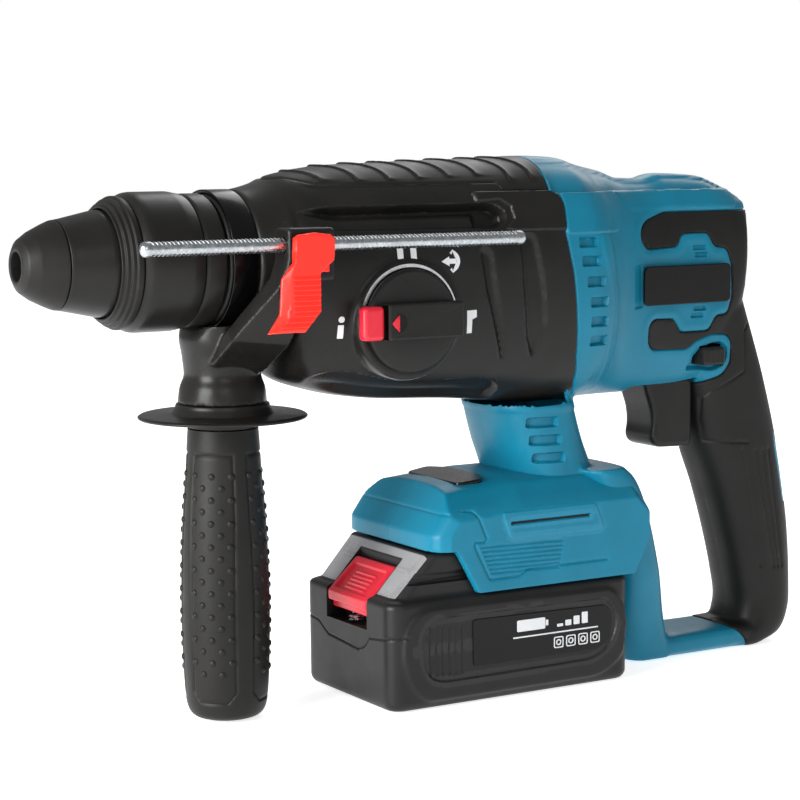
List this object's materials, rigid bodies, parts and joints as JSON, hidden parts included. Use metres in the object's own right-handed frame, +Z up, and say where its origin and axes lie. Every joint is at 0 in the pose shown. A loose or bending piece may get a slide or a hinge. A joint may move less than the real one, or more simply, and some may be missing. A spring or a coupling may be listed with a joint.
{
  "type": "rotary hammer",
  "caption": "Cordless rotary hammer with a D-shaped rear handle, a swinging side handle with a depth stop, a mode dial and a slide-on battery pack.",
  "frame": {"origin": "middle of the battery's flat bottom face, which the tool stands on", "axes": "+X along the barrel from the chuck back to the rear handle, +Y to the user's right, +Z up"},
  "size_m": [0.3692, 0.0925, 0.2222],
  "materials": {
    "blue_plastic": "fine moulded grain, satin",
    "black_plastic": "fine moulded grain, satin",
    "black_rubber": "matt, dotted grip texture",
    "red_plastic": "semi-gloss",
    "crimson_plastic": "semi-gloss, ribbed",
    "battery_plastic": "fine moulded grain",
    "gloss_black": "gloss",
    "zinc_steel": "zinc plated",
    "hard_steel": "ground",
    "spring_steel": "drawn wire",
    "cast_aluminium": "die cast",
    "copper_winding": "enamelled copper",
    "cell_wrap": "shrink wrap",
    "green_board": "solder mask"
  },
  "bodies": {
    "root": {"gear_housing": "black_plastic", "top_pad": "black_rubber", "bearing_plate": "cast_aluminium", "spindle_bearing": "zinc_steel", "shaft_bearing_front": "zinc_steel", "shaft_bearing_rear": "zinc_steel", "motor_bearing_front": "zinc_steel", "motor_bearing_rear": "zinc_steel", "stator": "copper_winding", "body_left": "blue_plastic", "body_right": "blue_plastic", "grip_cover": "black_rubber", "name_plate": "gloss_black", "display_panel": "gloss_black", "control_board": "green_board", "terminal_block": "black_plastic", "switch_body": "black_plastic", "housing_screw_1": "zinc_steel", "housing_screw_2": "zinc_steel", "trigger_spring": "spring_steel"},
    "spindle": {"nose_cap": "black_rubber", "collar_front_ring": "black_rubber", "collar": "black_plastic", "collar_rear_ring": "black_plastic", "tool_holder": "hard_steel", "locking_ball": "hard_steel", "cylinder": "hard_steel", "spindle_gear": "hard_steel", "sleeve_spring": "spring_steel"},
    "release_sleeve": {"release_sleeve": "black_plastic"},
    "impact_bolt": {"impact_bolt": "hard_steel"},
    "striker": {"striker": "hard_steel", "striker_o_ring": "black_rubber"},
    "piston": {"piston": "cast_aluminium", "piston_pin": "hard_steel"},
    "wobble_ring": {"wobble_ring": "hard_steel"},
    "intermediate_shaft": {"intermediate_shaft": "hard_steel", "wobble_hub": "hard_steel", "intermediate_gear": "hard_steel"},
    "motor": {"motor_shaft": "hard_steel", "rotor": "hard_steel", "cooling_fan": "black_plastic"},
    "trigger": {"trigger": "black_plastic"},
    "direction_lever": {"direction_lever": "black_plastic"},
    "mode_dial": {"mode_dial": "black_plastic"},
    "dial_lock_button": {"dial_lock_button": "red_plastic"},
    "side_handle": {"clamp_band": "gloss_black", "handle_bracket": "black_plastic"},
    "side_grip": {"handle_guard": "black_plastic", "handle_bolt": "zinc_steel", "handle_grip": "black_rubber"},
    "depth_rod": {"depth_rod": "zinc_steel"},
    "depth_button": {"depth_button": "red_plastic"},
    "battery": {"battery_lower_case": "battery_plastic", "battery_upper_case": "battery_plastic", "cell_pack": "cell_wrap", "battery_label": "gloss_black", "battery_button_spring": "spring_steel"},
    "battery_button": {"battery_button": "crimson_plastic"}
  },
  "joints": [
    {"name": "motor_spin", "type": "hinge", "parent": "root", "child": "motor", "pos_m": [0.0284, 0, 0.1755], "axis": [1, 0, 0], "continuous": true},
    {"name": "intermediate_spin", "type": "hinge", "parent": "root", "child": "intermediate_shaft", "pos_m": [-0.0276, 0, 0.1565], "axis": [1, 0, 0], "continuous": true},
    {"name": "tool_spin", "type": "hinge", "parent": "root", "child": "spindle", "pos_m": [-0.1146, 0, 0.1825], "axis": [1, 0, 0], "continuous": true},
    {"name": "wobble_rock", "type": "hinge", "parent": "root", "child": "wobble_ring", "pos_m": [-0.0276, 0, 0.1565], "axis": [0, 1, 0], "range_deg": [-14, 14]},
    {"name": "piston_stroke", "type": "slide", "parent": "root", "child": "piston", "axis": [1, 0, 0], "range_m": [-0.0065, 0.0065]},
    {"name": "striker_slide", "type": "slide", "parent": "spindle", "child": "striker", "axis": [1, 0, 0], "range_m": [-0.004, 0.005]},
    {"name": "impact_bolt_slide", "type": "slide", "parent": "spindle", "child": "impact_bolt", "axis": [1, 0, 0], "range_m": [-0.003, 0.003]},
    {"name": "sleeve_release", "type": "slide", "parent": "spindle", "child": "release_sleeve", "axis": [1, 0, 0], "range_m": [0, 0.006], "stiffness_N_per_m": 800, "springref_m": -0.005, "deforming": ["sleeve_spring"]},
    {"name": "trigger_pull", "type": "slide", "parent": "root", "child": "trigger", "axis": [1, 0, 0], "range_m": [0, 0.006], "stiffness_N_per_m": 1000, "springref_m": -0.004, "deforming": ["trigger_spring"]},
    {"name": "direction_slide", "type": "slide", "parent": "root", "child": "direction_lever", "axis": [0, 1, 0], "range_m": [-0.003, 0.003]},
    {"name": "mode_dial_turn", "type": "hinge", "parent": "root", "child": "mode_dial", "pos_m": [-0.0511, -0.038, 0.158], "axis": [0, 1, 0], "range_deg": [0, 180]},
    {"name": "dial_lock_press", "type": "slide", "parent": "mode_dial", "child": "dial_lock_button", "axis": [1, 0, 0], "range_m": [0, 0.003], "stiffness_N_per_m": 600, "springref_m": -0.002},
    {"name": "handle_swing", "type": "hinge", "parent": "root", "child": "side_handle", "pos_m": [-0.1146, 0, 0.1825], "axis": [1, 0, 0], "range_deg": [-90, 5]},
    {"name": "grip_twist", "type": "hinge", "parent": "side_handle", "child": "side_grip", "pos_m": [-0.1146, 0, 0.1225], "axis": [0, 0, 1], "range_deg": [0, 180]},
    {"name": "depth_rod_slide", "type": "slide", "parent": "side_handle", "child": "depth_rod", "axis": [1, 0, 0], "range_m": [-0.06, 0.015]},
    {"name": "depth_button_press", "type": "slide", "parent": "side_handle", "child": "depth_button", "axis": [0, 1, 0], "range_m": [0, 0.002], "stiffness_N_per_m": 800, "springref_m": -0.002},
    {"name": "battery_slide", "type": "slide", "parent": "root", "child": "battery", "axis": [-1, 0, 0], "range_m": [0, 0.036]},
    {"name": "battery_button_press", "type": "slide", "parent": "battery", "child": "battery_button", "axis": [0, 0, -1], "range_m": [0, 0.004], "stiffness_N_per_m": 800, "springref_m": -0.003, "deforming": ["battery_button_spring"]}
  ],
  "couplings": [
    {"joint": "intermediate_spin", "follows": "motor_spin", "ratio": -0.26667},
    {"joint": "tool_spin", "follows": "motor_spin", "ratio": 0.088889},
    {"joint": "piston_stroke", "follows": "wobble_rock", "m_per_rad": 0.026}
  ]
}
